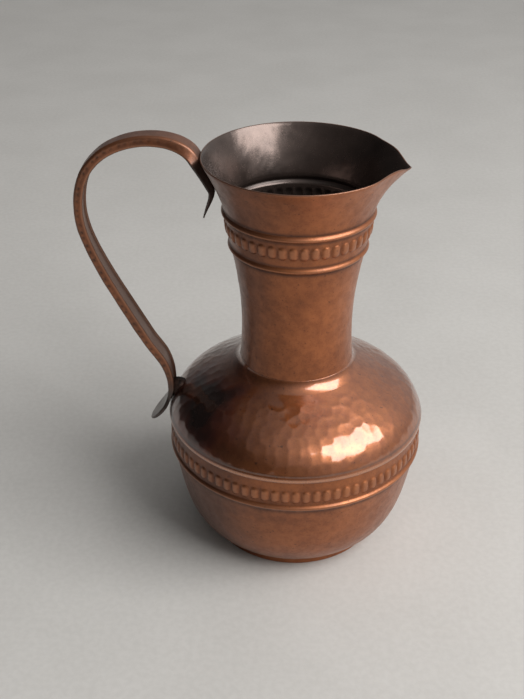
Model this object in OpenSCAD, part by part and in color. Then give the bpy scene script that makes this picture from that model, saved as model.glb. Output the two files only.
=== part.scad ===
// Hammered copper water jug: five pieces of copper, lapped, soldered and brazed together.
// The origin is on the jug's axis where its foot meets the table. +Z is up, +X is the spout
// and -X is the handle. Every size is in millimetres.

/* [Body] */
// diameter of the foot ring
foot_d = 105.6; // [88:0.2:124]
// height of the foot ring under the body
foot_h = 5; // [4:0.5:8]
// widest diameter of the body, across the seam
belly_d = 158; // [140:1:180]
// height of the seam between bowl and shoulder
seam_z = 85; // [72:1:102]
// height of the shoulder above the seam
shoulder_h = 34.5; // [29:0.5:41]
// thickness of the copper sheet
sheet = 1; // [0.8:0.1:1.4]

/* [Neck] */
// outside diameter of the neck at its root
neck_d = 68.8; // [58:0.2:80]
// height of the neck from its root to the upper ridge
neck_h = 99.8; // [84:0.2:120]
// height of the flared mouth above the upper ridge
mouth_h = 30.7; // [26:0.1:36]
// diameter of the round part of the rim
mouth_d = 110.4; // [98:0.2:126]
// how far the pouring lip reaches past the round rim
lip_reach = 9; // [6:0.5:12]
// how far the pouring lip dips below the rim
lip_dip = 5; // [3:0.5:7]

/* [Bands] */
// distance between the beads of both rows
bead_pitch = 6.14; // [5.6:0.02:7.2]
// radius of the punch that raises the beads
bead_r = 2.4; // [2.1:0.1:2.7]
// how far the beads stand out
bead_rise = 1.1; // [0.7:0.1:1.2]
// straight length of a bead between its round ends
bead_length = 3; // [2:0.1:4]
// how far the ridges stand out
ridge_rise = 1.6; // [1:0.1:2]
// half the width of a ridge
ridge_half = 2.3; // [1.8:0.1:3]

/* [Handle] */
// reach of the handle's back from the axis
handle_reach = 129; // [112:1:150]
// rise of the handle's crown above the rim
handle_rise = 12.3; // [8:0.1:18]
// width of the handle's back along the grip
grip_w = 12; // [10:0.5:15]
// depth of the folded edges where the grip is deepest
flange = 8.7; // [7:0.1:10]
// thickness of the handle's strip
strip = 1.4; // [1.2:0.1:1.8]

/* [Hidden] */

$fn = 96;
copper = [0.60, 0.33, 0.21];
dark_copper = [0.45, 0.23, 0.15];
solder = [0.62, 0.56, 0.50];
braze = [0.30, 0.20, 0.15];

foot_r = foot_d / 2;
foot_wall = 1.8;
belly_r = belly_d / 2;
neck_r = neck_d / 2;
mouth_r = mouth_d / 2;

// the bowl's wall outside, where it stands inside the shoulder's edge
lap_r = belly_r - 0.9 - sheet;
lap_top = seam_z + 3.5;
solder_leg = 1.2;
low_ridge_z = 0.76 * seam_z;
belly_bead_z = low_ridge_z + 8;
belly_bead_count = round(2 * PI * (lap_r + bead_rise) / bead_pitch);

// the shoulder's flat ledge that the neck stands on, and the collar inside the neck
ledge_z = seam_z + shoulder_h;
ledge_r = neck_r + 2.4;
collar_h = 5;

low_neck_ridge_z = ledge_z + 0.795 * neck_h;
neck_bead_z = ledge_z + 0.909 * neck_h;
top_ridge_z = ledge_z + neck_h;
mouth_z = top_ridge_z + ridge_half;
rim_z = top_ridge_z + mouth_h;
throat_r = 0.777 * mouth_r;
neck_bead_r = neck_wall(neck_bead_z);
neck_bead_count = round(2 * PI * (neck_bead_r + bead_rise) / bead_pitch);
neck_lean = atan((neck_wall(neck_bead_z + 1) - neck_wall(neck_bead_z - 1)) / 2);

function steps(a, b, n) = [for (i = [0:n]) a + (b - a) * i / n];

// the point or number at u, from 0 to 1, of the Bezier curve through the controls p
function bezier(p, u) =
    len(p) == 1 ? p[0] : bezier([for (i = [0:len(p) - 2]) (1 - u) * p[i] + u * p[i + 1]], u);
function curve(p, n) = [for (u = steps(0, 1, n)) bezier(p, u)];
function reverse(list) = [for (i = [len(list) - 1:-1:0]) list[i]];
function rest(list) = [for (i = [1:len(list) - 1]) list[i]];

// a half-round ridge pressed out of a wall, as a rise over the height z
function ridge(z, middle) =
    abs(z - middle) < ridge_half ? ridge_rise * pow(cos(90 * (z - middle) / ridge_half), 2) : 0;

// the heights that show a ridge's shape
function ridge_steps(middle) = steps(middle - ridge_half, middle + ridge_half, 10);

// the other face of a sheet whose first face is the line of points, on the left of its run
function other_face(points, t) = [
    for (i = [0:len(points) - 1])
        let (a = points[max(i - 1, 0)], b = points[min(i + 1, len(points) - 1)], d = (b - a) / norm(b - a))
        points[i] + t * [-d[1], d[0]]
];

// ---- bowl ----

bowl_curve = [[foot_r + 0.9, foot_h], [0.25 * foot_r + 0.75 * lap_r, 0.27 * low_ridge_z],
    [lap_r - 5.4, 0.57 * low_ridge_z], [lap_r, low_ridge_z - ridge_half]];
bowl_side = rest(curve(bowl_curve, 16));
bowl_band = [for (z = rest(ridge_steps(low_ridge_z))) [lap_r + ridge(z, low_ridge_z), z]];

function bowl_outside() = concat([[0, foot_h]], [bowl_curve[0]], bowl_side, bowl_band, [[lap_r, lap_top]]);

// the hollow of the bowl: its sides follow the outside, and its floor is flat
function bowl_inside() = concat(
    [[0, foot_h + sheet]],
    rest(other_face(concat([[0, foot_h]], [bowl_curve[0]], bowl_side), sheet)),
    [for (p = bowl_band) [p[0] - sheet, p[1]]],
    [[lap_r - sheet, lap_top]]
);

// ---- shoulder ----

shoulder_curve = [[belly_r - 0.9, seam_z + 2.4], [belly_r - 6.3, seam_z + 0.525 * shoulder_h],
    [0.804 * belly_r, ledge_z - 0.438 * shoulder_h], [ledge_r, ledge_z]];
shoulder_side = curve(shoulder_curve, 20);
shoulder_edge = [[lap_r + sheet, seam_z - 1.6], [belly_r - 0.3, seam_z - 1], [belly_r, seam_z],
    [belly_r - 0.3, seam_z + 1.2]];

function shoulder_outside() = concat(shoulder_edge, shoulder_side);

// the hollow of the shoulder, with the straight wall that laps over the bowl
function shoulder_inside() = concat(
    [[lap_r, seam_z - 1.6], [lap_r, lap_top + solder_leg]],
    [for (p = other_face(shoulder_side, sheet)) if (p[1] > lap_top + solder_leg + 0.3) p]
);

// ---- neck and mouth ----

// outside radius of the plain neck and of the plain mouth, by height
function neck_wall(z) =
    let (u = (z - ledge_z) / (mouth_z - ledge_z))
    bezier([neck_r, 0.945 * neck_r, 0.886 * neck_r, 0.937 * throat_r, throat_r], u);
function mouth_wall(z) =
    let (u = (z - mouth_z) / (rim_z - mouth_z), flare = mouth_r - throat_r)
    bezier([throat_r, throat_r + 0.22 * flare, throat_r + 0.56 * flare, mouth_r], u);

neck_heights = concat(steps(ledge_z + collar_h + 1, low_neck_ridge_z - ridge_half - 1, 14),
    ridge_steps(low_neck_ridge_z), steps(low_neck_ridge_z + ridge_half + 2, top_ridge_z - ridge_half - 1, 5),
    ridge_steps(top_ridge_z));

function neck_rise(z) = ridge(z, low_neck_ridge_z) + ridge(z, top_ridge_z);
function neck_outside() = concat([[neck_r, ledge_z], [neck_r, ledge_z + collar_h]],
    [for (z = neck_heights) [neck_wall(z) + neck_rise(z), z]]);
function neck_inside() = [for (p = neck_outside()) [p[0] - sheet, p[1]]];

// ---- the pouring lip ----

// the lip's keel and the pinched walls beside it, as a push outward by the angle from the keel
keel_w = 13;
pinch_at = 28;
pinch_w = 11;
pinch = 0.16;
function lip_push(angle) =
    exp(-pow(abs(angle) / keel_w, 1.2)) - pinch * exp(-pow((abs(angle) - pinch_at) / pinch_w, 2));

mouth_rows = 8;
mouth_sides = 72;
// the mouth's root stands this deep in the top of the neck's wall, and this far inside both its faces
root_sink = 0.3;
root_inset = 0.25;

// angles round the mouth from -180 to 180, closer together at the lip
function around(i) = let (a = 360 * i / mouth_sides - 180) a - 26 * sin(a);

// outside point of the mouth at an angle, with v from 0 at the upper ridge to 1 at the rim
function mouth_point(angle, v, inset, lift) =
    let (z = mouth_z + v * (rim_z - lip_dip * exp(-pow(angle / keel_w, 2)) - mouth_z),
        r = mouth_wall(z) + lip_reach * lip_push(angle) * pow(v, 1.7) - inset)
    [r * cos(angle), r * sin(angle), z + lift];

// the sheet's section at one side of the mouth: up its inside, over the rim and down its outside
function mouth_section(i) = let (angle = around(i)) concat(
    [for (lift = [-root_sink, 0]) mouth_point(angle, 0, sheet - root_inset, lift)],
    [for (v = rest(steps(0, 1, mouth_rows))) mouth_point(angle, v, sheet, 0)],
    [mouth_point(angle, 1, sheet / 2, 0.3)],
    [for (v = reverse(rest(steps(0, 1, mouth_rows)))) mouth_point(angle, v, 0, 0)],
    [for (lift = [0, -root_sink]) mouth_point(angle, 0, root_inset, lift)]
);

// triangles between the rings of points, each with the same count of points
function skin(rings, count, closed) = [
    for (i = [0:rings - (closed ? 1 : 2)], j = [0:count - 1])
        let (a = i * count, b = (i + 1) % rings * count, k = (j + 1) % count)
        each [[a + j, b + j, b + k], [a + j, b + k, a + k]]
];

module mouth_sheet() {
    count = len(mouth_section(0));
    sections = [for (i = [0:mouth_sides - 1]) each mouth_section(i)];
    polyhedron(sections, skin(mouth_sides, count, true));
}

// everything inside the mouth's outside surface, near the handle
module mouth_fill() {
    count = mouth_rows + 2;
    last = 8;
    sections = [for (i = [-last:last]) each concat(
        [for (v = steps(1, 0, mouth_rows)) mouth_point(around(i), v, 0, 0)],
        [mouth_point(around(i), 0.5, 0.5 * throat_r, 0)]
    )];
    rings = 2 * last + 1;
    caps = [[for (j = [0:count - 1]) j], [for (j = [count - 1:-1:0]) (rings - 1) * count + j]];
    polyhedron(sections, concat(skin(rings, count, false), caps));
}

// ---- sheets of the body ----

// a raised bead of the given radius, standing upright at the origin
module bead(r) {
    rotate_extrude()
    intersection() {
        union() {
            translate([0, bead_length / 2]) circle(r);
            translate([0, -bead_length / 2]) circle(r);
            square([2 * r, bead_length], center = true);
        }
        translate([0, -r - bead_length]) square(2 * (r + bead_length));
    }
}

// a row of beads whose punch is pressed from inside a wall of radius wall_r
module bead_row(count, wall_r, z, lean, r) {
    for (i = [0:count - 1])
        rotate([0, 0, 360 * (i + 0.5) / count])
        translate([wall_r + bead_rise - bead_r, 0, z])
        rotate([0, lean, 0])
        bead(r);
}

module foot_ring() {
    inner_r = foot_r - foot_wall;
    color(copper)
    rotate_extrude()
    polygon([[inner_r, 0], [foot_r - 0.5, 0], [foot_r, 0.5], [foot_r, foot_h], [inner_r, foot_h]]);
}

module foot_solder() {
    color(solder)
    rotate_extrude()
    polygon([[foot_r, foot_h - 0.8], [foot_r + 0.8, foot_h], [foot_r, foot_h]]);
}

module lower_bowl() {
    color(copper)
    difference() {
        union() {
            rotate_extrude() polygon(concat(bowl_outside(), [[0, lap_top]]));
            bead_row(belly_bead_count, lap_r, belly_bead_z, 0, bead_r);
        }
        rotate_extrude()
        polygon(concat(bowl_inside(), [[lap_r - sheet, lap_top + 1], [0, lap_top + 1]]));
        bead_row(belly_bead_count, lap_r, belly_bead_z, 0, bead_r - sheet);
    }
}

module belly_solder() {
    color(solder)
    rotate_extrude()
    polygon([[lap_r - sheet, lap_top], [lap_r, lap_top], [lap_r, lap_top + solder_leg]]);
}

module shoulder() {
    collar_r = neck_r - sheet;
    color(copper)
    rotate_extrude()
    polygon(concat(
        shoulder_outside(),
        [[collar_r, ledge_z], [collar_r, ledge_z + collar_h]],
        [[collar_r - sheet, ledge_z + collar_h], [collar_r - sheet, ledge_z - 1.2 * sheet]],
        reverse(shoulder_inside())
    ));
}

module neck_solder() {
    leg = 2.2;
    color(solder)
    rotate_extrude()
    polygon(concat(
        [[neck_r, ledge_z]],
        curve([[neck_r + leg, ledge_z], [neck_r + 0.3 * leg, ledge_z + 0.1 * leg],
            [neck_r + 0.1 * leg, ledge_z + 0.3 * leg], [neck_r, ledge_z + leg]], 6)
    ));
}

module neck_tube() {
    top = neck_outside()[len(neck_outside()) - 1][1];
    difference() {
        union() {
            rotate_extrude() polygon(concat([[0, ledge_z]], neck_outside(), [[0, top]]));
            bead_row(neck_bead_count, neck_bead_r, neck_bead_z, neck_lean, bead_r);
        }
        rotate_extrude()
        polygon(concat(
            [[0, ledge_z - 1], [neck_r - sheet, ledge_z - 1]],
            neck_inside(),
            [[throat_r - sheet, top + 1], [0, top + 1]]
        ));
        bead_row(neck_bead_count, neck_bead_r, neck_bead_z, neck_lean, bead_r - sheet);
    }
}

module neck_and_mouth() {
    color(copper)
    union() {
        neck_tube();
        mouth_sheet();
    }
}

// ---- handle ----

// The handle is one strip, folded into a channel. Its back follows this line of [reach from the
// axis, height]: up from the free tail, up the mouth's wall, over the crown and down to the leaf.
rim_gap = 0.3;
crown = [0.643 * handle_reach, rim_z + handle_rise];
back = [handle_reach, rim_z - 35];
joint = [belly_r + 0.3, seam_z + 12];
bend = joint + [0.31 * (back[0] - joint[0]), 0.304 * (back[1] - joint[1])];
bend_run = [0.346 * (back[0] - joint[0]), 0.267 * (back[1] - joint[1])];
tail_top = rim_z - 18;
tail_curve = [[mouth_r - 1.3, rim_z - 38], [mouth_r - 3.8, rim_z - 30.5],
    [mouth_wall(tail_top) - 0.4, rim_z - 23.7], [mouth_wall(tail_top) + 0.8, tail_top]];
rim_side = [for (z = steps(tail_top, rim_z - 0.4, 6))
    [mouth_wall(z) + rim_gap + 0.5 * (rim_z - z) / (rim_z - tail_top), z]];
rise_curve = [rim_side[6], rim_side[6] + [2.3, 5.9], [0.794 * crown[0], crown[1]], crown];
crown_curve = [crown, crown + [8.1, 0], [back[0], crown[1] - 4.4], back];
grip_curve = [back, back - [0, 0.1925 * (back[1] - joint[1])], bend + bend_run, bend];
low_curve = [bend, bend - 0.35 * bend_run, joint + [0, 19.3], joint];
leaf_curve = [joint, joint + [0.1, -9], joint + [7.2, -15], joint + [10.9, -25.5]];
handle_line = concat(curve(tail_curve, 8), rest(rim_side), rest(curve(rise_curve, 8)),
    rest(curve(crown_curve, 12)), rest(curve(grip_curve, 10)), rest(curve(low_curve, 8)),
    rest(curve(leaf_curve, 8)));

// shape of the strip at a station of the line: tail 0-8, rim 14, crown 22, back 34, bend 44, joint 52
function back_w(i) = grip_w * lookup(i, [[0, 0.1], [3, 0.4], [8, 0.85], [14, 1.05], [22, 0.96],
    [34, 1], [52, 1], [56, 0.95], [58, 0.75], [59, 0.5], [60, 0.16]]);
function fold_depth(i) = flange * lookup(i, [[0, 0.04], [3, 0.15], [8, 0.45], [14, 0.7], [22, 0.62],
    [30, 0.7], [34, 0.8], [39, 1], [44, 0.96], [48, 0.8], [51, 0.55], [52, 0.42], [54, 0.2], [60, 0.1]]);
function fold_angle(i) = lookup(i, [[0, 60], [8, 60], [14, 50], [20, 80], [28, 90], [54, 90], [60, 50]]);
function thickness(i) = strip * lookup(i, [[0, 0.4], [3, 0.9], [5, 1], [57, 1], [60, 0.6]]);

// the strip's section as [across, depth below its back], with its folded corners rounded
function strap_half(i) =
    let (half = back_w(i) / 2, fold = fold_angle(i), t = thickness(i), round_off = 0.9 * t,
        run = [cos(fold), sin(fold)], corner = [half, 0], end = corner + fold_depth(i) * run)
    [
        corner - [min(round_off, 0.8 * half), 0],
        corner + 0.3 * round_off * (run - [1, 0]),
        corner + min(round_off, 0.8 * fold_depth(i)) * run,
        end,
        end + t * [-run[1], run[0]],
        [max(half - t * tan(fold / 2), 0.1 * half), t]
    ];
function strap_section(i) =
    let (half = strap_half(i), last = len(handle_line) - 1,
        a = handle_line[max(i - 1, 0)], b = handle_line[min(i + 1, last)], d = (b - a) / norm(b - a))
    [for (p = concat(half, [for (q = reverse(half)) [-q[0], q[1]]]))
        [-handle_line[i][0] - p[1] * d[1], p[0], handle_line[i][1] - p[1] * d[0]]];

// the solid strip between two stations
module strap(first, last) {
    count = 12;
    sections = [for (i = [first:last]) each strap_section(i)];
    rings = last - first + 1;
    caps = [[for (j = [0:count - 1]) j], [for (j = [count - 1:-1:0]) (rings - 1) * count + j]];
    polyhedron(sections, concat(skin(rings, count, false), caps));
}

module handle() {
    color(dark_copper) strap(0, len(handle_line) - 1);
}

// a slab standing across the handle, from an outline of [reach, height]
module slab(outline, width) {
    translate([0, width / 2, 0])
    rotate([90, 0, 0])
    linear_extrude(width)
    polygon([for (p = outline) [-p[0], p[1]]]);
}

// the braze that fills the gap between the strip's back and the mouth
module rim_braze() {
    run = steps(tail_top + 3, rim_z - 2, 6);
    color(braze)
    difference() {
        slab(concat([for (z = run) [mouth_wall(z) - 1.5, z]], [for (z = reverse(run)) [mouth_wall(z) + 1.4, z]]), 9);
        mouth_fill();
        strap(6, 16);
    }
}

// the lump of braze between the channel and the shoulder
module belly_braze() {
    color(braze)
    difference() {
        slab([joint + [-0.4, 9.5], joint + [-3.8, 7.3], joint + [-7.8, 5.9], joint + [-12.3, 5.4],
            joint + [-14, -2], joint + [-0.4, -8.5]], grip_w + 2);
        rotate_extrude() polygon(concat([[0, seam_z]], shoulder_outside(), [[0, ledge_z]]));
        strap(46, 57);
    }
}

foot_ring();
foot_solder();
lower_bowl();
belly_solder();
shoulder();
neck_solder();
neck_and_mouth();
handle();
rim_braze();
belly_braze();
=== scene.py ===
"""The looks of a hammered copper water jug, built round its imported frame.

Shapes are worked out in millimetres in the frame's own axes, and add_piece turns them into metres. A wall is
a grid of points: its rows run up the outside, over the edge and down the inside, and its columns run round
the jug.
"""

import math

import bpy
import numpy as np
from mathutils import Euler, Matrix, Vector
from mathutils.kdtree import KDTree


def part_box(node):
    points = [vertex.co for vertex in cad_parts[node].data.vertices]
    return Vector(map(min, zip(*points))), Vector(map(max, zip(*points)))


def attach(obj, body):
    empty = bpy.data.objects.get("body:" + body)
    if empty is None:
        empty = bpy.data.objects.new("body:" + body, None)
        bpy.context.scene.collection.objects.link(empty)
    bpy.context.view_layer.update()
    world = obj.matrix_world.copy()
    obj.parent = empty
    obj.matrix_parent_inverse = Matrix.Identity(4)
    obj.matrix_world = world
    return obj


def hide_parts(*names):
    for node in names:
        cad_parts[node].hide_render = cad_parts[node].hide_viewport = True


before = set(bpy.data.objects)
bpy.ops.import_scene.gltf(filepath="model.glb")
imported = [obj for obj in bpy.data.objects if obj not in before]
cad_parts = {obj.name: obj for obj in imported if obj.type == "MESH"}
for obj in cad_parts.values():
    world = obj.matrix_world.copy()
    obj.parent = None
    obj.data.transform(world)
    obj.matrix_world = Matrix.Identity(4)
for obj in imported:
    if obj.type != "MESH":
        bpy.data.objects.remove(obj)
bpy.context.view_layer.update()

MM = 0.001


def low(node):
    """Lowest corner of a CAD node, in millimetres."""
    return np.array(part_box(node)[0]) / MM


def high(node):
    """Highest corner of a CAD node, in millimetres."""
    return np.array(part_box(node)[1]) / MM


# ---- sizes, from the frame ----

SHEET = 1.0
STRIP = 1.4
FOOT_WALL = 1.8
# how far the shoulder's hem hangs below the seam, and how far it stands out from the shoulder's side
HEM_DROP = 1.6
HEM_PROUD = 0.9
# how far the neck's CAD node reaches above the rim, and its solder's CAD node out from the neck
CAD_EDGE = 0.3
CAD_FILLET = 2.2
# width of the shoulder's ledge outside the neck
LEDGE_W = 2.4
FOOT_R = high("foot_ring")[0]
FOOT_H = high("foot_ring")[2]
BELLY_R = high("shoulder")[0]
SEAM_Z = low("shoulder")[2] + HEM_DROP
LEDGE_Z = low("neck_and_mouth")[2]
RIM_Z = high("neck_and_mouth")[2] - CAD_EDGE
MOUTH_R = high("neck_and_mouth")[1]
NECK_R = -low("neck_solder")[0] - CAD_FILLET
HANDLE_REACH = -low("handle")[0]
HANDLE_TOP = high("handle")[2]
GRIP_W = 12.0

RIDGE_RISE = 1.6
RIDGE_HALF = 2.3
LAP_R = BELLY_R - HEM_PROUD - SHEET
LOW_RIDGE_Z = 0.76 * SEAM_Z
BELLY_BEAD_Z = LOW_RIDGE_Z + 8
MOUTH_H = 30.7
TOP_RIDGE_Z = RIM_Z - MOUTH_H
NECK_H = TOP_RIDGE_Z - LEDGE_Z
LOW_NECK_RIDGE_Z = LEDGE_Z + 0.795 * NECK_H
NECK_BEAD_Z = LEDGE_Z + 0.909 * NECK_H
MOUTH_Z = TOP_RIDGE_Z + RIDGE_HALF
THROAT_R = 0.777 * MOUTH_R
LIP_DIP = 5.0

BEAD_COUNT = {"neck": 43, "belly": 80}
BEAD_COLUMNS = {"neck": 10, "belly": 9}
BEAD_HALF_HEIGHT = {"neck": 3.9, "belly": 4.1}
BEAD_HALF_WIDTH = 2.5
BEAD_RISE = 1.2


# ---- curves ----

def bezier(controls, count):
    """Points of the Bezier curve through the control points, at count + 1 equal steps."""
    u = np.linspace(0, 1, count + 1)
    points = [np.ones((count + 1, 1)) * np.array(c, float) for c in controls]
    while len(points) > 1:
        points = [a + (b - a) * u[:, None] for a, b in zip(points, points[1:])]
    return points[0]


def evenly(points, spacing):
    """The same line with points about a given distance apart, or as spacing says for a point's last value."""
    fine = np.concatenate([[0], np.cumsum(np.linalg.norm(np.diff(points, axis=0), axis=1))])
    if callable(spacing):
        along = [0.0]
        while along[-1] < fine[-1]:
            along.append(along[-1] + spacing(np.interp(along[-1], fine, points[:, -1])))
        along = np.array(along) * fine[-1] / along[-1]
    else:
        along = np.linspace(0, fine[-1], max(2, round(fine[-1] / spacing) + 1))
    return np.stack([np.interp(along, fine, points[:, k]) for k in range(points.shape[1])], axis=1)


def bump(x):
    """A smooth hill, 1 at x = 0 and 0 from x = 1 outwards."""
    return np.where(np.abs(x) < 1, np.cos(np.clip(x, -1, 1) * math.pi / 2) ** 2, 0)


def ease(x):
    """0 below 0, 1 above 1 and smooth between."""
    x = np.clip(x, 0, 1)
    return x * x * (3 - 2 * x)


# ---- walls ----

def turned(profile, columns):
    """The grid of points that a profile of [radius, height] sweeps as it turns round the jug."""
    angle = np.linspace(0, 2 * math.pi, columns, endpoint=False)
    r, z = profile[:, 0][:, None], profile[:, 1][:, None]
    return np.stack([r * np.cos(angle), r * np.sin(angle), z + 0 * angle], axis=2)


def normals(grid):
    """Outward unit normals of a grid whose rows go up and whose columns go round anticlockwise."""
    round_jug = np.roll(grid, -1, axis=1) - np.roll(grid, 1, axis=1)
    up = np.gradient(grid, axis=0)
    n = np.cross(round_jug, up)
    return n / np.maximum(np.linalg.norm(n, axis=2, keepdims=True), 1e-9)


def blurred(field, rows, columns):
    """A field smoothed by running means that reach the given number of cells each way."""
    padded = np.concatenate([field[:1].repeat(rows, 0), field, field[-1:].repeat(rows, 0)])
    total = np.cumsum(np.concatenate([np.zeros((1, field.shape[1])), padded]), axis=0)
    smooth = (total[2 * rows + 1:] - total[:-2 * rows - 1]) / (2 * rows + 1)
    return sum(np.roll(smooth, k, axis=1) for k in range(-columns, columns + 1)) / (2 * columns + 1)


def wobble(grid, size, seed):
    """Slow unevenness of a wall raised by hand."""
    rng = np.random.default_rng(seed)
    angle = np.arctan2(grid[..., 1], grid[..., 0])
    total = 0
    for turns in (2, 3, 4, 5, 7):
        rise, phase = rng.uniform(-0.03, 0.03), rng.uniform(0, 2 * math.pi)
        total = total + np.sin(turns * angle + rise * grid[..., 2] + phase) / turns
    return size * total


def hammered(grid, rows, spacing, crown, tilt, seed):
    """How far a planishing hammer sinks a wall. Blows fall in courses along the profile of the chosen rows,
    and each leaves a shallow cup: crown is its curvature, and tilt how unevenly it faces."""
    rng = np.random.default_rng(seed)
    profile = np.stack([np.linalg.norm(grid[rows, 0, :2], axis=1), grid[rows, 0, 2]], axis=1)
    blows = []
    for radius, z in evenly(profile, 0.87 * spacing):
        count = max(6, round(2 * math.pi * radius / spacing))
        angle = 2 * math.pi * (np.arange(count) + rng.uniform() + rng.uniform(-0.3, 0.3, count)) / count
        r = radius + rng.uniform(-0.2, 0.2, count) * spacing
        height = z + rng.uniform(-0.25, 0.25, count) * spacing
        blows.append(np.stack([r * np.cos(angle), r * np.sin(angle), height], axis=1))
    blows = np.concatenate(blows)
    lean = rng.normal(0, tilt, blows.shape)
    sunk = rng.uniform(0, 1, len(blows)) * crown * spacing ** 2 * 0.25
    tree = KDTree(len(blows))
    for i, blow in enumerate(blows):
        tree.insert(blow, i)
    tree.balance()
    points = grid.reshape(-1, 3)
    near = np.array([[i for _, i, _ in tree.find_n(p, 5)] for p in points])
    away = points[:, None, :] - blows[near]
    cup = crown * (away ** 2).sum(2) + (away * lean[near]).sum(2) - sunk[near]
    sharp = 14 / (crown * spacing ** 2)
    least = cup.min(1)
    soft = least - np.log(np.exp(-sharp * (cup - least[:, None])).sum(1)) / sharp
    return soft.reshape(grid.shape[:2])


def beads(grid, row, middle):
    """A row of upright beads pressed out from the inside, with round crowns and fine grooves between."""
    columns = BEAD_COLUMNS[row]
    column = np.arange(grid.shape[1]) % columns
    across = (column - (columns - 1) / 2) / columns * (2 * math.pi / BEAD_COUNT[row])
    radius = np.linalg.norm(grid[..., :2], axis=2)
    u = across[None, :] * radius / BEAD_HALF_WIDTH
    w = (grid[..., 2] - middle) / BEAD_HALF_HEIGHT[row]
    inside = 1 - np.abs(u) ** 2.6 - np.abs(w) ** 3.4
    return BEAD_RISE * np.clip(inside, 0, 1) ** 0.62


def ridge(z, middle):
    """A half-round ridge that runs round the jug at one height."""
    return RIDGE_RISE * bump((z - middle) / RIDGE_HALF)


# ---- pieces ----

def add_piece(name, grid, material, nodes, closed=False, fields=None, caps=False):
    """A mesh from a grid of points, riding on the jug in place of its CAD nodes. Its columns always join up,
    closed joins its last row to its first, and caps fills its two ends. Fields hold the material's values."""
    rows, columns = grid.shape[:2]
    i = np.arange(rows if closed else rows - 1)[:, None]
    j = np.arange(columns)[None, :]
    up, across = (i + 1) % rows, (j + 1) % columns
    faces = np.stack([i * columns + j, i * columns + across, up * columns + across, up * columns + j], axis=2)
    faces = faces.reshape(-1, 4).tolist()
    if caps:
        faces.append(list(range(columns))[::-1])
        faces.append([(rows - 1) * columns + k for k in range(columns)])
    mesh = bpy.data.meshes.new(name)
    mesh.from_pydata((grid.reshape(-1, 3) * MM).tolist(), [], faces)
    for field, values in (fields or {}).items():
        attribute = mesh.attributes.new(field, "FLOAT", "POINT")
        attribute.data.foreach_set("value", np.clip(values, 0, 1).astype(np.float32).ravel())
    mesh.polygons.foreach_set("use_smooth", [True] * len(mesh.polygons))
    mesh.materials.append(material)
    mesh.update()
    piece = bpy.data.objects.new(name, mesh)
    bpy.context.scene.collection.objects.link(piece)
    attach(piece, "root")
    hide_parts(*nodes)


def wear_and_painted_light(relief, rows, columns, size):
    """Fields for a material: brighter where the wall stands proud of its surroundings, as wear and a painted
    highlight, and darker where it is low, as grime and painted shade.
    """
    proud = relief - blurred(relief, rows, columns)
    return {"wear_and_highlight": ease(proud / size), "grime_and_shade": ease(-proud / size)}


def stacked(*parts):
    """Several stretches of rows as one grid or field."""
    return np.concatenate(parts, axis=0)


def over_edge(outer, inner, rows=3):
    """Rows that round off the edge between the last outer row and the first inner row."""
    middle, half = (outer[-1] + inner[0]) / 2, (outer[-1] - inner[0]) / 2
    along = outer[-1] - outer[-2]
    along = along / np.linalg.norm(along, axis=1, keepdims=True)
    reach = np.linalg.norm(half, axis=1, keepdims=True)
    angle = np.linspace(0, math.pi, rows + 2)[1:-1]
    return np.stack([middle + half * math.cos(a) + along * reach * math.sin(a) for a in angle])


def shell(profile, columns, relief_of, thickness, inner_step):
    """A sheet's grid and its relief: the outside, the rounded upper edge, and the inside, which follows the
    outside's relief with only one row in inner_step."""
    base = turned(profile, columns)
    out = normals(base)
    relief = relief_of(base)
    outer = base + out * relief[..., None]
    inner = (base - out * (thickness - relief[..., None] * 0.9))[::-1][::inner_step]
    edge = over_edge(outer, inner)
    grid = stacked(outer, edge, inner)
    field = stacked(relief, relief[-1:].repeat(len(edge), 0), relief[::-1][::inner_step])
    return grid, field


# ---- materials ----

class Nodes:
    """A short way to build a node tree."""

    def __init__(self, name):
        self.material = bpy.data.materials.new(name)
        self.material.use_nodes = True
        self.tree = self.material.node_tree
        self.shader = self.tree.nodes["Principled BSDF"]

    def add(self, kind, inputs=None, **settings):
        node = self.tree.nodes.new(kind)
        for key, value in settings.items():
            setattr(node, key, value)
        for key, value in (inputs or {}).items():
            self.link(value, node.inputs[key])
        return node

    def link(self, value, socket):
        if isinstance(value, bpy.types.NodeSocket):
            self.tree.links.new(value, socket)
        else:
            socket.default_value = value

    def noise(self, where, scale, detail=4.0, roughness=0.55, distortion=0.0):
        inputs = {"Vector": where, "Scale": scale, "Detail": detail, "Roughness": roughness}
        inputs["Distortion"] = distortion
        return self.add("ShaderNodeTexNoise", inputs).outputs["Fac"]

    def range(self, value, a, b, to_a=0.0, to_b=1.0):
        return self.add(
            "ShaderNodeMapRange",
            {"Value": value, "From Min": a, "From Max": b, "To Min": to_a, "To Max": to_b},
            interpolation_type="SMOOTHSTEP",
        ).outputs["Result"]

    def math(self, operation, a, b):
        return self.add("ShaderNodeMath", {0: a, 1: b}, operation=operation).outputs[0]

    def mix(self, factor, a, b):
        node = self.add("ShaderNodeMix", data_type="RGBA")
        self.link(factor, node.inputs[0])
        self.link((*a, 1) if isinstance(a, tuple) else a, node.inputs[6])
        self.link((*b, 1) if isinstance(b, tuple) else b, node.inputs[7])
        return node.outputs[2]

    def attribute(self, name):
        return self.add("ShaderNodeAttribute", attribute_name=name).outputs["Fac"]


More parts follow.
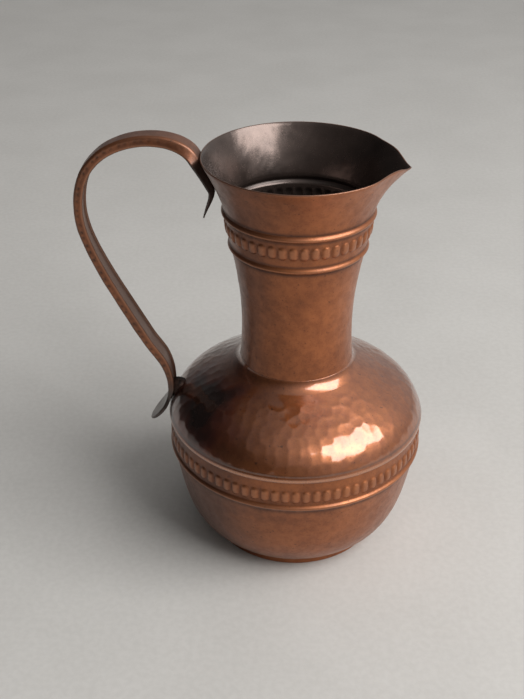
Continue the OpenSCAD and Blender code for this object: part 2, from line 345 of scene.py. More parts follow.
def copper(name, warm, brown, dark, gloss, spread, metal, coat, mottle=0.5, shade_side=0.0, scorch=None):
    """Patinated copper. It goes from warm to brown in slow patches and fine mottling, is dark in its hollows,
    partly as patina and partly as painted shade, and bright where it stands proud, partly as wear and partly as
    a painted highlight. Gloss is its roughness and spread how much that varies. Metal is how far the metal shows
    through its oxide, and coat the (weight, roughness, ior) of its skin of polish. The side-shade argument is
    how much darker it is on the handle's side, a painted shade of the side away from the light, and scorch the
    (place, reach) in metres of a stain from the torch."""
    n = Nodes(name)
    where = n.add("ShaderNodeTexCoord").outputs["Object"]
    patches = n.noise(where, 26, 3, 0.6, 0.4)
    mottling = n.noise(where, 190, 5, 0.65)
    fine = n.noise(where, 900, 4, 0.7)
    spots = n.noise(where, 420, 2, 0.5)
    slow, quick = n.range(patches, 0.36, 0.66, 0, 1 - mottle), n.range(mottling, 0.34, 0.68, 0, mottle)
    tone = n.math("ADD", slow, quick)
    colour = n.mix(tone, warm, brown)
    colour = n.mix(n.range(fine, 0.52, 0.78, 0, 0.45), colour, dark)
    colour = n.mix(n.range(spots, 0.66, 0.76, 0, 0.55), colour, dark)
    # Painted shade: darker towards the handle's side, away from the light, in slow patches.
    side = n.add("ShaderNodeSeparateXYZ", {0: where}).outputs["X"]
    side_shaded = n.math("MULTIPLY", n.range(side, -0.055, 0.020, shade_side, 0), n.range(patches, 0.3, 0.6, 0.75, 1))
    colour = n.mix(side_shaded, colour, dark)
    if scorch:
        place, reach = scorch
        distance = n.add("ShaderNodeVectorMath", {0: where, 1: place}, operation="DISTANCE").outputs["Value"]
        ragged = n.range(n.noise(where, 45, 1.5), 0.3, 0.7, -0.4 * reach, 0.4 * reach)
        uneven = n.math("ADD", distance, ragged)
        red = tuple(0.5 * a + 0.5 * b for a, b in zip(dark, FIRE_RED))
        colour = n.mix(n.range(uneven, reach * 0.6, reach * 1.8, 0.8, 0), colour, red)
        colour = n.mix(n.range(uneven, reach * 0.3, reach * 1.2, 0.95, 0), colour, dark)
    # The grime field darkens hollows, creases and the wall under ridges and hems: partly dirt and patina, partly
    # painted shade.
    wear_and_highlight, grime_and_shade = n.attribute("wear_and_highlight"), n.attribute("grime_and_shade")
    wear_and_highlight = n.math("MULTIPLY", wear_and_highlight, n.range(mottling, 0.25, 0.6, 0.55, 1))
    colour = n.mix(n.math("MULTIPLY", grime_and_shade, 0.85), colour, dark)
    # The worn field brightens crests, hems and edges: partly wear, partly a painted highlight.
    colour = n.mix(n.math("MULTIPLY", wear_and_highlight, 0.9), colour, BRIGHT)
    inside = n.attribute("inside")
    tarnish = n.mix(n.range(patches, 0.3, 0.8, 0, 0.7), TARNISH, SOOT_AND_SHADE)
    colour = n.mix(inside, colour, n.mix(n.math("MULTIPLY", grime_and_shade, 0.6), tarnish, SOOT_AND_SHADE))
    rough = n.range(mottling, 0.3, 0.7, gloss - spread, gloss + spread)
    rough = n.math("ADD", rough, n.range(fine, 0.45, 0.75, 0, 0.08))
    rough = n.math("ADD", rough, n.math("MULTIPLY", grime_and_shade, 0.18))
    rough = n.math("SUBTRACT", rough, n.math("MULTIPLY", wear_and_highlight, 0.3 * gloss))
    rough = n.math("SUBTRACT", rough, n.math("MULTIPLY", inside, 0.3 * gloss))
    rough = n.math("SUBTRACT", rough, n.math("MULTIPLY", n.attribute("polish"), 0.25 * gloss))
    height = n.math("ADD", n.math("MULTIPLY", mottling, 0.6), n.math("MULTIPLY", fine, 0.4))
    bumps = n.add("ShaderNodeBump", {"Height": height, "Strength": 0.35, "Distance": 0.0002})
    n.link(colour, n.shader.inputs["Base Color"])
    n.link(rough, n.shader.inputs["Roughness"])
    n.link(bumps.outputs["Normal"], n.shader.inputs["Normal"])
    n.shader.inputs["Metallic"].default_value = metal
    n.shader.inputs["Coat Weight"].default_value = coat[0]
    n.shader.inputs["Coat Roughness"].default_value = coat[1]
    n.shader.inputs["Coat IOR"].default_value = coat[2]
    return n.material


def joint_metal(name, pale, dark, gloss):
    """Solder or braze: lumpy, blotched with flux and soot."""
    n = Nodes(name)
    where = n.add("ShaderNodeTexCoord").outputs["Object"]
    blotches, grains = n.noise(where, 320, 5, 0.6), n.noise(where, 1500, 3, 0.6)
    colour = n.mix(n.range(blotches, 0.4, 0.65), pale, dark)
    rough = n.range(grains, 0.3, 0.7, gloss - 0.1, gloss + 0.15)
    height = n.math("ADD", blotches, n.math("MULTIPLY", grains, 0.3))
    bumps = n.add("ShaderNodeBump", {"Height": height, "Strength": 0.6, "Distance": 0.0004})
    n.link(colour, n.shader.inputs["Base Color"])
    n.link(rough, n.shader.inputs["Roughness"])
    n.link(bumps.outputs["Normal"], n.shader.inputs["Normal"])
    n.shader.inputs["Metallic"].default_value = 0.9
    return n.material


# colours that all the coppers share
# BRIGHT is rubbed copper and also a painted highlight on crests, hems and edges.
BRIGHT = (0.62, 0.29, 0.16)
FIRE_RED = (0.24, 0.035, 0.018)
TARNISH = (0.120, 0.086, 0.074)
# The darkest tarnish; on the handle's tail and at its joint it is also painted shade.
SOOT_AND_SHADE = (0.022, 0.016, 0.014)

satin_copper = copper(
    "satin_copper",
    warm=(0.43, 0.140, 0.046), brown=(0.26, 0.080, 0.027), dark=(0.055, 0.020, 0.012),
    gloss=0.42, spread=0.05, metal=0.74, coat=(0.4, 0.26, 1.5), shade_side=0.70,
)
glossy_copper = copper(
    "glossy_copper",
    warm=(0.42, 0.134, 0.041), brown=(0.24, 0.069, 0.023), dark=(0.020, 0.008, 0.006),
    gloss=0.32, spread=0.04, metal=0.80, coat=(1.0, 0.12, 1.75), mottle=0.6, shade_side=0.55,
    scorch=((-0.060, -0.030, 0.103), 0.026),
)
# The handle's copper is darker than the body's, a painted shade of the handle's side away from the light.
handle_copper = copper(
    "handle_copper",
    warm=(0.26, 0.088, 0.034), brown=(0.13, 0.045, 0.020), dark=(0.025, 0.012, 0.008),
    gloss=0.40, spread=0.06, metal=0.74, coat=(0.5, 0.28, 1.5),
)
solder_metal = joint_metal("solder_metal", pale=(0.30, 0.15, 0.09), dark=(0.12, 0.06, 0.035), gloss=0.42)
# Near black: a dark joint, and also a painted shade of the gaps under the handle's ends where the braze sits.
braze_and_shade_metal = joint_metal("braze_and_shade_metal", pale=(0.05, 0.030, 0.024), dark=(0.012, 0.009, 0.008), gloss=0.5)


# ---- foot ----

def foot_ring():
    """The band that the jug stands on, worn along its outer lower edge and darker with painted shade where it
    meets the bowl.
    """
    inner = FOOT_R - FOOT_WALL
    rim = bezier([[inner, 0.5], [inner + 0.1, -0.02], [FOOT_R - 0.2, -0.02], [FOOT_R, 0.9]], 8)
    rim[:, 1] = np.maximum(rim[:, 1], 0)
    profile = np.concatenate([
        evenly(np.array([[inner, FOOT_H], [inner, 0.6]]), 0.9),
        rim,
        evenly(np.array([[FOOT_R, 1.1], [FOOT_R, FOOT_H]]), 0.5),
    ])[::-1]
    grid = turned(profile, 480)
    middle = (inner + FOOT_R) / 2
    grid[..., :2] *= 1 + (wobble(grid, 0.05, 5) / FOOT_R)[..., None]
    wear_and_highlight = bump(grid[..., 2] / 1.6) * (np.linalg.norm(grid[..., :2], axis=2) > middle)
    # Painted shade: darker towards the top of the band, under the bowl.
    grime_and_shade = ease((grid[..., 2] - 3.4) / 1.4)
    fields = {"wear_and_highlight": wear_and_highlight[::-1] * 0.5, "grime_and_shade": grime_and_shade[::-1]}
    add_piece("foot_ring_band", grid[::-1], satin_copper, ["foot_ring"], closed=True, fields=fields)


# ---- bowl ----

BELLY_COLUMNS = BEAD_COUNT["belly"] * BEAD_COLUMNS["belly"]


def bowl_profile():
    """The bowl's outside as [radius, height], from near its underside's middle to its edge in the lap."""
    side = bezier([[FOOT_R + 0.9, FOOT_H], [0.25 * FOOT_R + 0.75 * LAP_R, 0.27 * LOW_RIDGE_Z],
                   [LAP_R - 5.4, 0.57 * LOW_RIDGE_Z], [LAP_R, LOW_RIDGE_Z - RIDGE_HALF]], 60)
    wall = np.array([[LAP_R, LOW_RIDGE_Z - RIDGE_HALF], [LAP_R, SEAM_Z + 3.4]])
    underside = evenly(np.array([[2, FOOT_H], [FOOT_R - 1, FOOT_H]]), 6)
    return np.concatenate([underside, evenly(side, 1.25), evenly(wall, 0.62)[1:]])


def bowl_relief(base):
    """Hammer marks on the bowl's side, then the ridge and the row of beads. The underside is plain."""
    z = base[..., 2]
    radius = np.linalg.norm(base[..., :2], axis=2)
    rows = np.where((base[:, 0, 2] > FOOT_H + 0.5) & (base[:, 0, 2] < LOW_RIDGE_Z - 2))[0]
    plain = ease((z - FOOT_H - 1) / 6) * (1 - ease((z - LOW_RIDGE_Z + 4) / 3))
    marks = hammered(base, rows, spacing=7.5, crown=0.0040, tilt=0.0045, seed=11) * plain
    relief = marks + wobble(base, 0.10, 3) * plain
    relief = relief + ridge(z, LOW_RIDGE_Z)
    relief = relief + beads(base, "belly", BELLY_BEAD_Z)
    return np.where(radius < FOOT_R, 0, relief)


def lower_bowl():
    """The bowl's sheet, with painted shade under the hem, under the ridge and round the foot."""
    grid, relief = shell(bowl_profile(), BELLY_COLUMNS, bowl_relief, SHEET, inner_step=5)
    fields = wear_and_painted_light(relief, rows=4, columns=5, size=0.55)
    z = grid[..., 2]
    # Painted shade under the shoulder's hem, under the ridge and low down by the foot.
    near_seam = bump((z - SEAM_Z + HEM_DROP) / 1.3) + bump((z - LOW_RIDGE_Z + RIDGE_HALF + 0.4) / 1.4) * 0.6
    near_foot = 1 - ease((z - FOOT_H) / 3)
    band = (z > LOW_RIDGE_Z - RIDGE_HALF) & (z < SEAM_Z + 2)
    fields["wear_and_highlight"] = fields["wear_and_highlight"] * np.where(band, 0.3, 0.6)
    fields["grime_and_shade"] = fields["grime_and_shade"] * np.where(band, 0.35, 0.7) + near_seam * 0.5 + near_foot * 0.8
    add_piece("lower_bowl_sheet", grid, satin_copper, ["lower_bowl"], fields=fields, caps=True)


# ---- shoulder ----

def shoulder_profile():
    """The shoulder's outside as [radius, height], from the hem up to the ledge and in under the neck."""
    side_r = BELLY_R - HEM_PROUD
    hem = bezier([[LAP_R + 0.15, SEAM_Z - 1.5], [BELLY_R - 0.4, SEAM_Z - 2.0], [BELLY_R + 0.35, SEAM_Z - 0.6],
                  [BELLY_R + 0.15, SEAM_Z + 1.0], [side_r, SEAM_Z + 2.0], [side_r, SEAM_Z + 2.9]], 24)
    height = LEDGE_Z - SEAM_Z
    side = bezier([[side_r, SEAM_Z + 2.9], [BELLY_R - 6.3, SEAM_Z + 0.525 * height],
                   [0.804 * BELLY_R, LEDGE_Z - 0.438 * height], [NECK_R + LEDGE_W, LEDGE_Z]], 80)
    under_neck = [[NECK_R - 1.6, LEDGE_Z + 0.1]]
    return np.concatenate([evenly(hem, 0.45), evenly(np.concatenate([side, under_neck]), 0.64)[1:]])


def shoulder_relief(base):
    """Hammer marks that fade out towards the hem and towards the neck."""
    z, radius = base[..., 2], np.linalg.norm(base[..., :2], axis=2)
    rows = np.where(base[:, 0, 2] > SEAM_Z + 1)[0]
    free = ease((z - SEAM_Z - 2.4) / 3.5) * ease((radius - NECK_R - 6.5) / 7)
    marks = hammered(base, rows, spacing=6.4, crown=0.0095, tilt=0.012, seed=21)
    return marks * free + wobble(base, 0.18, 8) * free


def shoulder():
    """The shoulder's sheet, with a hem that is worn and carries a painted highlight, and painted shade along the
    top of it.
    """
    grid, relief = shell(shoulder_profile(), 660, shoulder_relief, SHEET, inner_step=6)
    fields = wear_and_painted_light(relief, rows=4, columns=4, size=0.30)
    z, radius = grid[..., 2], np.linalg.norm(grid[..., :2], axis=2)
    # The hem's crest is bright as wear and a painted highlight; the crease above it is darker as painted shade.
    fields["wear_and_highlight"] = fields["wear_and_highlight"] * 0.25 + bump((z - SEAM_Z - 0.2) / 1.5) * (radius > BELLY_R - 1) * 0.8
    fields["grime_and_shade"] = fields["grime_and_shade"] * 0.4 + bump((z - SEAM_Z - 2.9) / 1.5) * 0.6
    add_piece("shoulder_sheet", grid, glossy_copper, ["shoulder"], closed=True,
              fields=fields)


# ---- neck and mouth ----

NECK_COLUMNS = BEAD_COUNT["neck"] * BEAD_COLUMNS["neck"]


def neck_wall(z):
    """The neck's radius outside at a height."""
    u = (z - LEDGE_Z) / (MOUTH_Z - LEDGE_Z)
    radii = [NECK_R, 0.945 * NECK_R, 0.886 * NECK_R, 0.937 * THROAT_R, THROAT_R]
    return sum(math.comb(4, k) * u ** k * (1 - u) ** (4 - k) * r for k, r in enumerate(radii))


def mouth_wall(z):
    """The mouth's radius outside at a height, without its lip."""
    u = (z - MOUTH_Z) / (RIM_Z - MOUTH_Z)
    flare = MOUTH_R - THROAT_R
    radii = [THROAT_R, THROAT_R + 0.22 * flare, THROAT_R + 0.56 * flare, MOUTH_R]
    return sum(math.comb(3, k) * u ** k * (1 - u) ** (3 - k) * r for k, r in enumerate(radii))


LIP_REACH = high("neck_and_mouth")[0] - mouth_wall(RIM_Z - LIP_DIP)


def wall(z):
    return np.where(z < MOUTH_Z, neck_wall(z), mouth_wall(z))


def lip_push(degrees):
    """How far the lip pushes out, by the angle from its keel: a sharp keel with a pinch on each side."""
    a = np.abs(degrees)
    return np.exp(-(a / 13) ** 1.2) - 0.16 * np.exp(-((a - 28) / 11) ** 2)


def neck_base(heights):
    """Points of the plain wall at each height, with the lip drawn out. Columns crowd towards the lip."""
    v = np.clip((heights - MOUTH_Z) / (RIM_Z - MOUTH_Z), 0, 1)[:, None]
    turn = np.linspace(-math.pi, math.pi, NECK_COLUMNS, endpoint=False)[None, :]
    angle = turn - 0.45 * ease(v * 1.1) * np.sin(turn)
    degrees = np.degrees(angle)
    z = heights[:, None] - v * LIP_DIP * np.exp(-(degrees / 13) ** 2)
    r = wall(z) + LIP_REACH * lip_push(degrees) * v ** 1.7
    return np.stack([r * np.cos(angle), r * np.sin(angle), z + 0 * angle], axis=2)


def neck_heights(coarse, fine):
    """Heights from the root to the rim, closer together over the ridges and beads."""
    band = (LOW_NECK_RIDGE_Z - RIDGE_HALF - 1, MOUTH_Z + 1)
    line = np.array([[0, LEDGE_Z], [0, RIM_Z]])
    return evenly(line, lambda z: fine if band[0] < z < band[1] else coarse)[:, 1]


def neck_relief(base, seed, spacing, crown, tilt):
    """Hammer marks above and below the bands, then the two ridges and the row of beads."""
    z = base[..., 2]
    rows = np.arange(0, len(base), 2)
    band = ease((z - LOW_NECK_RIDGE_Z + RIDGE_HALF + 2) / 2) * (1 - ease((z - MOUTH_Z - 1) / 2))
    plain = (1 - band) * ease((z - LEDGE_Z - 4) / 5) * (1 - ease((z - RIM_Z + 3) / 3) * 0.7)
    relief = hammered(base, rows, spacing, crown, tilt, seed) * plain + wobble(base, 0.12, 14) * plain
    relief = relief + ridge(z, LOW_NECK_RIDGE_Z) + ridge(z, TOP_RIDGE_Z)
    return relief + beads(base, "neck", NECK_BEAD_Z)


def neck_and_mouth():
    """The neck's sheet. Its inside has hammer marks of its own and is tarnished. Its root is polished like
    the shoulder, and painted shade lies in the creases beside the ridges."""
    base = neck_base(neck_heights(coarse=1.25, fine=0.55))
    relief = neck_relief(base, seed=31, spacing=7.0, crown=0.0048, tilt=0.0055)
    outer = base + normals(base) * relief[..., None]
    inside = neck_base(neck_heights(coarse=1.9, fine=0.95))
    hollow = neck_relief(inside, seed=32, spacing=4.6, crown=0.0085, tilt=0.008)
    inner = (inside + normals(inside) * (hollow - SHEET)[..., None])[::-1]
    edge = over_edge(outer, inner)
    grid = stacked(outer, edge, inner)
    outer_fields = wear_and_painted_light(relief, rows=5, columns=5, size=0.50)
    inner_fields = wear_and_painted_light(-hollow, rows=4, columns=4, size=0.45)
    z = base[..., 2]
    # Painted shade in the creases beside the ridges and the beads' band.
    crease = bump((z - LOW_NECK_RIDGE_Z + RIDGE_HALF + 0.3) / 1.2)
    crease = crease + bump((z - TOP_RIDGE_Z + RIDGE_HALF + 0.3) / 1.2)
    crease = crease + bump((z - MOUTH_Z - 0.6) / 1.3)
    crease = crease + bump((z - LOW_NECK_RIDGE_Z - RIDGE_HALF - 0.3) / 1.2)
    in_band = (z > LOW_NECK_RIDGE_Z - RIDGE_HALF) & (z < MOUTH_Z)
    outer_fields["wear_and_highlight"] = outer_fields["wear_and_highlight"] * np.where(in_band, 0.3, 0.6)
    outer_fields["grime_and_shade"] = outer_fields["grime_and_shade"] * np.where(in_band, 0.35, 0.7) + 0.4 * crease
    inner_fields["wear_and_highlight"] = inner_fields["wear_and_highlight"] * 0.2
    none_out, none_edge, none_in = (np.zeros(part.shape[:2]) for part in (outer, edge, inner))
    fields = {
        "wear_and_highlight": stacked(outer_fields["wear_and_highlight"], none_edge + 0.25, inner_fields["wear_and_highlight"][::-1]),
        "grime_and_shade": stacked(outer_fields["grime_and_shade"], none_edge, inner_fields["grime_and_shade"][::-1]),
        "polish": stacked(1 - ease((z - LEDGE_Z - 4) / 16), none_edge, none_in + 0.8),
        "inside": stacked(none_out, none_edge + 0.5, none_in + 1),
    }
    add_piece("neck_and_mouth_sheet", grid, satin_copper, ["neck_and_mouth"], closed=True,
              fields=fields)


# ---- handle ----

def handle_line():
    """The line of the strap's back as [reach, height, station], and each point's distance along it. Stations
    are tail 0, rim 14, crown 22, back 34, bend 44, joint 52 and leaf 60."""
    crown = np.array([0.643 * HANDLE_REACH, HANDLE_TOP])
    back = np.array([HANDLE_REACH, RIM_Z - 35])
    joint = np.array([BELLY_R + 0.3, SEAM_Z + 12])
    run = back - joint
    bend = joint + run * [0.31, 0.304]
    bend_run = run * [0.346, 0.267]
    tail_top = RIM_Z - 18
    top_r = float(mouth_wall(tail_top))
    heights = np.linspace(tail_top, RIM_Z - 0.4, 7)
    gap = 0.5 * (RIM_Z - heights) / (RIM_Z - tail_top)
    side = np.stack([mouth_wall(heights) + 0.3 + gap, heights], axis=1)
    curves = [
        (0, 8, bezier([[MOUTH_R - 1.3, RIM_Z - 38], [MOUTH_R - 3.8, RIM_Z - 30.5],
                       [top_r - 0.4, RIM_Z - 23.7], [top_r + 0.8, tail_top]], 40)),
        (8, 14, side),
        (14, 22, bezier([side[-1], side[-1] + [2.3, 5.9], [0.794 * crown[0], crown[1]], crown], 40)),
        (22, 34, bezier([crown, crown + [8.1, 0], [back[0], crown[1] - 4.4], back], 60)),
        (34, 44, bezier([back, back - [0, 0.1925 * run[1]], bend + bend_run, bend], 60)),
        (44, 52, bezier([bend, bend - 0.35 * bend_run, joint + [0, 19.3], joint], 40)),
        (52, 60, bezier([joint, joint + [0.1, -10], joint + [4.8, -13.5], joint + [12.0, -23]], 40)),
    ]
    rows = [np.column_stack([points, np.linspace(a, b, len(points))]) for a, b, points in curves]
    joined = np.concatenate([rows[0]] + [r[1:] for r in rows[1:]])
    fine = np.concatenate([[0], np.cumsum(np.linalg.norm(np.diff(joined[:, :2], axis=0), axis=1))])
    along = np.linspace(0, fine[-1], round(fine[-1] / 0.85) + 1)
    line = np.stack([np.interp(along, fine, joined[:, k]) for k in range(3)], axis=1)
    for _ in range(6):
        line[1:-1, :2] = 0.5 * line[1:-1, :2] + 0.25 * (line[:-2, :2] + line[2:, :2])
    return line, along


def strap_shape(station):
    """Half width, fold depth, fold angle and thickness of the strap at a station. It is narrow at the tail,
    wider on the lower grip, and spreads and flattens into the leaf."""
    widths = np.interp(station, [0, 3, 8, 14, 22, 36, 42, 48, 52, 54, 56, 57.5, 58.7, 59.5, 60],
                       [0.10, 0.40, 0.80, 1.0, 0.96, 1, 1.18, 1.2, 1, 1.15, 1.42, 1.42, 1.2, 0.85, 0.45])
    half = GRIP_W / 2 * widths
    depth = np.interp(station, [0, 3, 8, 14, 22, 30, 36, 44, 48, 52, 54, 60],
                      [0.4, 1.3, 3.6, 5.6, 5.2, 5.0, 4.9, 5.2, 5.0, 3.4, 1.7, 0.9])
    fold = np.radians(np.interp(station, [0, 8, 14, 20, 28, 54, 60], [60, 60, 50, 80, 90, 90, 50]))
    thick = STRIP * np.interp(station, [0, 3, 5, 57, 60], [0.4, 0.9, 1, 1, 0.6])
    return half, depth, fold, thick


def strap_outline(half, depth, fold, thick):
    """Half of the strap's section as [across, below the back]: along the back, round the corner, down the
    flank, round the hem and over the closed inner face. It also says which points are on the flank, and
    counts the corner's lower part with it."""
    corner_r = min(1.9, 0.7 * half, 0.75 * depth + 0.2)
    bend = 7
    turn = np.linspace(0, fold, bend)
    cut = corner_r * math.tan(fold / 2)
    start = np.array([half - cut, 0.0])
    corner = np.stack([start[0] + corner_r * np.sin(turn), corner_r * (1 - np.cos(turn))], axis=1)
    run = np.array([math.cos(fold), math.sin(fold)])
    across = np.array([-run[1], run[0]])
    length = max(depth - cut, 0.15)
    steps = np.linspace(0, 1, 9)[1:]
    flank = corner[-1] + length * steps[:, None] * run
    hem_turn = np.linspace(0, math.pi, 6)[1:-1]
    tip = flank[-1] + thick / 2 * across
    hem = np.array([tip - thick / 2 * across * math.cos(a) + thick / 2 * run * math.sin(a) for a in hem_turn])
    back = np.linspace(0, 1, 5)[:-1, None] * start
    hem_end = flank[-1] + thick * across
    floor_depth = max(hem_end[1] - 0.25 * thick, thick)
    inner = np.array([[hem_end[0] * s, floor_depth] for s in (0.94, 0.8, 0.6, 0.4, 0.2)])
    points = np.concatenate([back, corner, flank, hem, [hem_end], inner])
    points[:, 0] = np.maximum(points[:, 0], 0.0)
    on_flank = np.zeros(len(points))
    first = len(back) + bend // 2 + 1
    on_flank[first:len(back) + bend + len(flank)] = 1
    return points, on_flank


DENT_PITCH = 4.8
GRIP_SET_IN = 1.2


def handle():
    """The strap as one section after another along its line, with a row of dents down each flank, painted shade
    in the dents, along the back's edges and on the inner face, soot and painted shade by the rim and at the
    joint, wear and a painted highlight along the hems and corners, and a line that is set in a little at the
    grip."""
    line, along = handle_line()
    tangent = np.gradient(line[:, :2], axis=0)
    tangent /= np.linalg.norm(tangent, axis=1, keepdims=True)
    rng = np.random.default_rng(41)
    sections, wear_and_highlight, grime_and_shade, inside = [], [], [], []
    dents = np.arange(0, along[-1], DENT_PITCH)
    dents = dents + rng.uniform(-0.7, 0.7, len(dents))
    strengths = rng.uniform(0.35, 1.1, len(dents))
    for (reach, z, station), d, s in zip(line, tangent, along):
        half, depth, fold, thick = strap_shape(station)
        points, flank = strap_outline(half, depth, fold, thick)
        mirrored = points[1:][::-1] * [-1, 1]
        flank_all = np.concatenate([flank, -flank[1:][::-1]])
        section = np.concatenate([points, mirrored])
        below = section[:, 1]
        nearest = np.argmin(np.abs(dents - s))
        marked = ease((station - 15) / 3) * (1 - ease((station - 50) / 2))
        marked = marked * strengths[nearest] * (0.55 + 0.45 * ease((station - 24) / 8))
        row = bump((below - 0.45 * depth) / 1.4) * np.abs(flank_all)
        mark = bump((s - dents[nearest]) / 1.5) * row * marked
        section = section - np.stack([np.sign(flank_all) * 0.42 * mark, 0 * mark], axis=1)
        section[:, 1] += GRIP_SET_IN * bump((station - 38) / 10)
        uneven = 0.10 * math.sin(s / 5.3) + 0.08 * math.sin(s / 2.9 + 1)
        section[:, 1] += uneven * (1 - ease(below / 2)) * marked
        x, y = -reach - section[:, 1] * d[1], section[:, 0]
        sections.append(np.stack([x, y, z - section[:, 1] * d[0]], axis=1))
        # Hems and corners are bright as wear and a painted highlight.
        hem = ease((below - depth + 1.1) / 0.8) * (depth > 2)
        top_edge = (below < 0.6) * (np.abs(section[:, 0]) > 0.6 * half)
        corner = np.abs(flank_all) * bump((below - 1.6) / 1.6) * 0.35 + top_edge * 0.3
        held = ease((station - 14) / 3)
        wear_and_highlight.append((hem * 0.35 + corner * 0.4) * held * (1 - ease((station - 50) / 3)))
        # Soot and painted shade on the tail by the rim and at the joint.
        soot_and_shade = (1 - ease((station - 13) / 3)) * 0.9 + ease((station - 49) / 3) * 0.35
        # Painted shade along the back's edges, in the dents and on the inner face.
        back_edge = bump((below - 0.9) / 1.1) * 0.55 * marked
        inner_face = (flank_all == 0) * ease((below - 0.7 * depth) / 0.8) * (depth > 2)
        grime_and_shade.append(mark * 1.2 + back_edge + 0.45 * inner_face + soot_and_shade)
        # Tarnish on the inner face, the leaf and the tail; on the tail and the leaf it is also painted shade.
        leaf, tail = ease((station - 50) / 3), 1 - ease((station - 13) / 2)
        inside.append(np.maximum(0.5 * inner_face, leaf) + 0.8 * tail)
    grid = np.array(sections)[:, ::-1]
    fields = {"wear_and_highlight": np.array(wear_and_highlight), "grime_and_shade": np.array(grime_and_shade), "inside": np.array(inside)}
    fields = {name: values[:, ::-1] for name, values in fields.items()}
    add_piece("handle_strap", grid, handle_copper, ["handle"], fields=fields, caps=True)


# ---- joints ----

def neck_fillet():
    """The filled corner between neck and shoulder, dressed smooth so that one runs into the other."""
    reach, rise = 8.0, 5.2
    shoulder_slope = -0.566
    foot = np.array([NECK_R + reach, LEDGE_Z + shoulder_slope * (reach - LEDGE_W) - 0.08])
    top = LEDGE_Z + rise
    curve = bezier([foot, foot - np.array([4.4, 4.4 * shoulder_slope]), [NECK_R + 0.4, LEDGE_Z + 1.3],
                    [float(neck_wall(top)) - 0.04, top]], 20)
    back = [[NECK_R - 0.6, top - 1], [NECK_R - 0.6, LEDGE_Z - 0.4], [NECK_R + LEDGE_W, LEDGE_Z - 0.4],
            foot - [0.6, 0.3]]
    grid = turned(np.concatenate([curve, back]), 360)
    plain = 0 * grid[..., 0]
    fields = {"wear_and_highlight": plain, "grime_and_shade": plain}
    add_piece("neck_solder_fillet", grid, glossy_copper, ["neck_solder"], closed=True,
              fields=fields)


def belly_braze():
    """The braze lump under the handle, a little smaller than its CAD node, with a melted, uneven surface."""
    a, b = low("belly_braze"), high("belly_braze")
    centre, half = (a + b) / 2 + [0, 0, -1.8], (b - a) / 2 * [1.0, 0.78, 0.74]
    rng = np.random.default_rng(52)
    height = np.linspace(-math.pi / 2 + 0.06, math.pi / 2 - 0.06, 26)[:, None]
    turn = np.linspace(0, 2 * math.pi, 44, endpoint=False)[None, :]
    level = np.cos(height)
    ball = np.stack([level * np.cos(turn), level * np.sin(turn), np.sin(height) + 0 * turn], axis=2)
    swell = 1
    for _ in range(9):
        way = rng.normal(size=3)
        way /= np.linalg.norm(way)
        swell = swell + rng.uniform(-0.10, 0.12) * np.clip(ball @ way, 0, 1) ** 3
    boxy = np.sign(ball) * np.abs(ball) ** 0.75
    grid = np.clip(centre + boxy * half * swell[..., None], a, b)
    # Its near-black colour is partly a painted shade of the gap between strap and shoulder.
    add_piece("belly_braze_lump", grid, braze_and_shade_metal, ["belly_braze"], caps=True)


# ---- camera, light and floor ----

def camera():
    """The view from in front and above, a little to the lip's side."""
    data = bpy.data.cameras.new("camera")
    data.lens = 56.65
    data.sensor_width = 36.0
    data.clip_start, data.clip_end = 0.01, 50
    eye = bpy.data.objects.new("camera", data)
    eye.location = (0.0100, -0.5733, 0.47535)
    eye.rotation_euler = Euler((math.radians(90 - 31.403), 0, math.radians(3.087)))
    bpy.context.scene.collection.objects.link(eye)
    bpy.context.scene.camera = eye


def toward(azimuth, elevation):
    """Unit vector by its angle round from +X and its angle above the floor, in degrees."""
    a, e = math.radians(azimuth), math.radians(elevation)
    return Vector((math.cos(a) * math.cos(e), math.sin(a) * math.cos(e), math.sin(e)))


DAYLIGHT = (1.0, 0.985, 0.965)
JUG_MIDDLE = Vector((0, 0, 0.12))


def softbox(name, azimuth, elevation, distance, width, height, radiance):
    """A rectangular light that faces the jug."""
    data = bpy.data.lights.new(name, "AREA")
    data.shape = "RECTANGLE"
    data.size, data.size_y = width, height
    data.energy = radiance * math.pi * width * height
    data.color = DAYLIGHT
    light = bpy.data.objects.new(name, data)
    way = toward(azimuth, elevation)
    light.location = way * distance + JUG_MIDDLE
    light.rotation_euler = way.to_track_quat("Z", "Y").to_euler()
    bpy.context.scene.collection.objects.link(light)


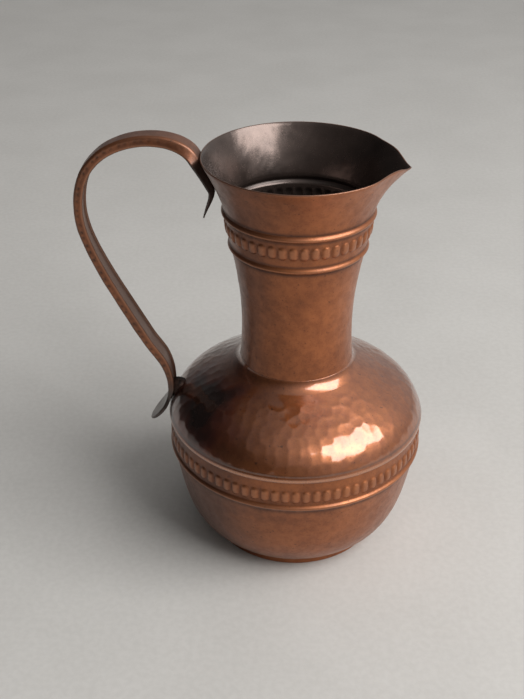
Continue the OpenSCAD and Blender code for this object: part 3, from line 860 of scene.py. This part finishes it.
def surroundings():
    """A plain room that is brighter on the lip's side, where its light comes in, and dim behind the handle.
    Its glows are (azimuth, elevation, start, power, strength)."""
    dim = 0.028
    glows = ((-15, 45, -0.15, 2.4, 0.80), (75, 8, 0.35, 1.6, 0.36))
    world = bpy.data.worlds.new("room")
    bpy.context.scene.world = world
    world.use_nodes = True
    tree = world.node_tree
    way = tree.nodes.new("ShaderNodeTexCoord").outputs["Generated"]
    total = None
    for azimuth, elevation, start, power, strength in glows:
        dot = tree.nodes.new("ShaderNodeVectorMath")
        dot.operation = "DOT_PRODUCT"
        tree.links.new(way, dot.inputs[0])
        dot.inputs[1].default_value = toward(azimuth, elevation)
        span = tree.nodes.new("ShaderNodeMapRange")
        span.inputs["From Min"].default_value = start
        tree.links.new(dot.outputs["Value"], span.inputs["Value"])
        curve = tree.nodes.new("ShaderNodeMath")
        curve.operation = "POWER"
        tree.links.new(span.outputs["Result"], curve.inputs[0])
        curve.inputs[1].default_value = power
        scaled = tree.nodes.new("ShaderNodeMath")
        scaled.operation = "MULTIPLY_ADD"
        tree.links.new(curve.outputs[0], scaled.inputs[0])
        scaled.inputs[1].default_value = strength
        if total is None:
            scaled.inputs[2].default_value = dim
        else:
            tree.links.new(total, scaled.inputs[2])
        total = scaled.outputs[0]
    background = tree.nodes["Background"]
    background.inputs["Color"].default_value = (*DAYLIGHT, 1)
    tree.links.new(total, background.inputs["Strength"])


def floor():
    """A plain pale floor with a faint unevenness in its tone."""
    n = Nodes("pale_floor")
    where = n.add("ShaderNodeTexCoord").outputs["Object"]
    broad = n.range(n.noise(where, 9, 5), 0.3, 0.7, 0, 0.5)
    grain = n.range(n.noise(where, 260, 4), 0.3, 0.7, 0, 0.5)
    tone = n.math("ADD", broad, grain)
    n.link(n.mix(tone, (0.56, 0.55, 0.53), (0.63, 0.62, 0.60)), n.shader.inputs["Base Color"])
    n.shader.inputs["Roughness"].default_value = 0.9
    mesh = bpy.data.meshes.new("floor")
    half = 6.0
    corners = [(-half, -half, 0), (half, -half, 0), (half, half, 0), (-half, half, 0)]
    mesh.from_pydata(corners, [], [(0, 1, 2, 3)])
    mesh.materials.append(n.material)
    ground = bpy.data.objects.new("floor", mesh)
    bpy.context.scene.collection.objects.link(ground)


camera()
surroundings()
softbox("window", azimuth=-26, elevation=44, distance=1.7, width=1.5, height=1.05, radiance=5.8)
floor()
bpy.context.scene.view_settings.view_transform = "Standard"

foot_ring()
lower_bowl()
shoulder()
neck_and_mouth()
handle()
neck_fillet()
belly_braze()
cad_metals = {"foot_solder": solder_metal, "belly_solder": solder_metal, "rim_braze": braze_and_shade_metal}
for cad_node, metal in cad_metals.items():
    cad_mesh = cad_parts[cad_node].data
    cad_mesh.materials.clear()
    cad_mesh.materials.append(metal)
